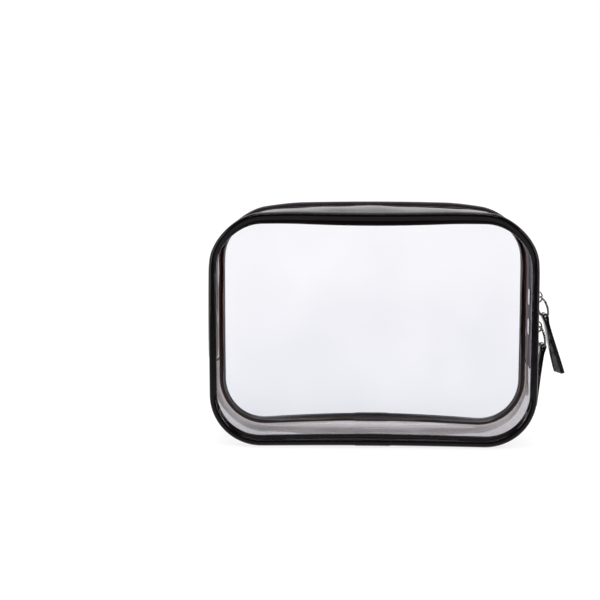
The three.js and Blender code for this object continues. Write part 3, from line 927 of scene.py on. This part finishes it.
def pull(name, ring_lean, turned, strap_lean, bow, twist):
    """All of one pull's pieces, hung from its slider."""
    low, high = box_mm(f"{name}_slider_body")
    z = (low[2] + high[2]) / 2
    seat = np.array([WALL_X + RING_SEAT, 0, z])
    foot = seat + swing(np.array([0.0, 0.0, -2 * RING_R]), ring_lean)    # the ring's lowest point
    make_piece(f"{name}_slider_casting", slider_parts(z), nickel, "nickel", f"{name}_slider",
               f"{name}_slider_body")
    make_piece(f"{name}_bail", [bridge_part(z)], nickel, "nickel", f"{name}_slider",
               f"{name}_slider_bridge")
    make_piece(f"{name}_ring", [ring_part(seat, ring_lean, turned)], nickel, "nickel", f"{name}_ring",
               f"{name}_pull_ring")
    make_piece(f"{name}_strap", [strap_part(foot, strap_lean, bow, twist)], patent, "patent_strap",
               f"{name}_strap", f"{name}_pull_strap")


pull("upper", ring_lean=15, turned=20, strap_lean=15.5, bow=-0.2, twist=20)
pull("lower", ring_lean=9, turned=14, strap_lean=-8, bow=-0.2, twist=8)


# %% [markdown]
# ## Stage and light
# Clear vinyl shows only what is behind it and what it mirrors. So the table and the sky are white, and
# the gloss sees a studio: dark in front above the white table, a white wall behind, one large soft box
# overhead that sweeps over the crowned top, and thin bright ones at the sides and above the front that
# draw the long lines on the piping. The table glows a little, as a light table does, so that only a
# faint shadow is left under the bag.

# %% Stage
def stage_floor():
    """A wide flat disc: rings whose radius grows as a power."""
    r = np.linspace(0.001, 1, 24)[:, None] ** 2 * 60000
    a = np.linspace(0, 2 * PI, 96, endpoint=False)[None]
    return grid_part(np.stack([r * np.cos(a), r * np.sin(a), -0.1 + 0 * r * a], -1), caps=False)


material, tree = new_material("white_light_table")
speckle = blend_colours(tree, noise(tree, 2.0), "#8c8c8c", "#949494")
table_top = add(tree, "ShaderNodeBsdfPrincipled",
                {"Base Color": speckle, "Roughness": 0.9, "Emission Color": (1, 1, 1, 1),
                 "Emission Strength": 0.76})
finish_material(tree, table_top.outputs[0])
points, faces, uv = stage_floor()
floor_mesh = bpy.data.meshes.new("table")
floor_mesh.from_pydata((points * MM).tolist(), [], faces)
floor_mesh.materials.append(material)
floor = bpy.data.objects.new("table", floor_mesh)
bpy.context.scene.collection.objects.link(floor)
floor.visible_glossy = False

world = bpy.data.worlds.new("white_studio")
world.use_nodes = True
world.node_tree.nodes.clear()
sky = world.node_tree
direction = add(sky, "ShaderNodeTexCoord").outputs["Generated"]
parts_of_it = add(sky, "ShaderNodeSeparateXYZ", {0: direction}).outputs
wall = add(sky, "ShaderNodeMapRange",
           {"Value": parts_of_it["Y"], "From Min": 0.0, "From Max": 0.35}).outputs[0]
table_edge = add(sky, "ShaderNodeMapRange",
                 {"Value": parts_of_it["Z"], "From Min": -0.13, "From Max": -0.19})
table = add(sky, "ShaderNodeMath", {0: table_edge.outputs[0], 1: 0.3}, operation="MULTIPLY").outputs[0]
bright = add(sky, "ShaderNodeMath", {0: wall, 1: table}, operation="MAXIMUM").outputs[0]
studio = blend_colours(sky, bright, "#1c1c20", "#fafafc")
mirrored = add(sky, "ShaderNodeBackground", {"Color": studio, "Strength": 1.0})
plain = add(sky, "ShaderNodeBackground", {"Color": (1, 1, 1, 1), "Strength": 1.0})
is_gloss = add(sky, "ShaderNodeLightPath").outputs["Is Glossy Ray"]
both = add(sky, "ShaderNodeMixShader", {0: is_gloss, 1: plain.outputs[0], 2: mirrored.outputs[0]})
add(sky, "ShaderNodeOutputWorld", {"Surface": both.outputs[0]})
bpy.context.scene.world = world


def soft_box(name, place, target, width, height, radiance):
    """A rectangle of light; its power is the radiance times pi times its area."""
    light = bpy.data.lights.new(name, "AREA")
    light.shape = "RECTANGLE"
    light.size, light.size_y, light.energy = width, height, radiance * PI * width * height
    lamp = bpy.data.objects.new(name, light)
    bpy.context.scene.collection.objects.link(lamp)
    lamp.location = place
    aim = Vector(target) - lamp.location
    lamp.rotation_euler = aim.to_track_quat("-Z", "Y").to_euler()
    lamp.visible_camera = False
    return lamp


soft_box("overhead_box", (0.0, 0.42, 1.5), (0, 0.42, 0), 0.9, 1.55, 1.35)
soft_box("left_box", (-1.2, -0.62, 0.45), (0, 0, 0.08), 0.12, 1.1, 7.0)
soft_box("right_box", (1.2, -0.62, 0.45), (0, 0, 0.08), 0.12, 1.1, 7.0)
soft_box("front_strip", (0.0, -0.75, 1.25), (0, 0, 0.08), 1.2, 0.05, 7.0)

# %% [markdown]
# ## Camera
# A medium telephoto lens, a little above the bag's middle and almost square to its front face, as for a
# product sheet. It is turned slightly to the left, so the bag stands in the right two thirds of the
# frame. The view transform is Standard, so a white table stays white, and light may pass 32 clear
# surfaces.

# %% Camera
camera = bpy.data.cameras.new("camera")
camera.sensor_width, camera.lens = 36, 84
camera_object = bpy.data.objects.new("camera", camera)
bpy.context.scene.collection.objects.link(camera_object)
camera_object.location = (-0.012, -0.886, 0.192)
PITCH_DOWN = 6.70
PAN_LEFT = 2.215
camera_object.rotation_euler = (math.radians(90 - PITCH_DOWN), 0, math.radians(PAN_LEFT))
bpy.context.scene.camera = camera_object
bpy.context.scene.view_settings.view_transform = "Standard"
bpy.context.scene.cycles.transparent_max_bounces = 32
print(f"camera {camera_object.location.length:.2f} m away, lens {camera.lens:.0f} mm")
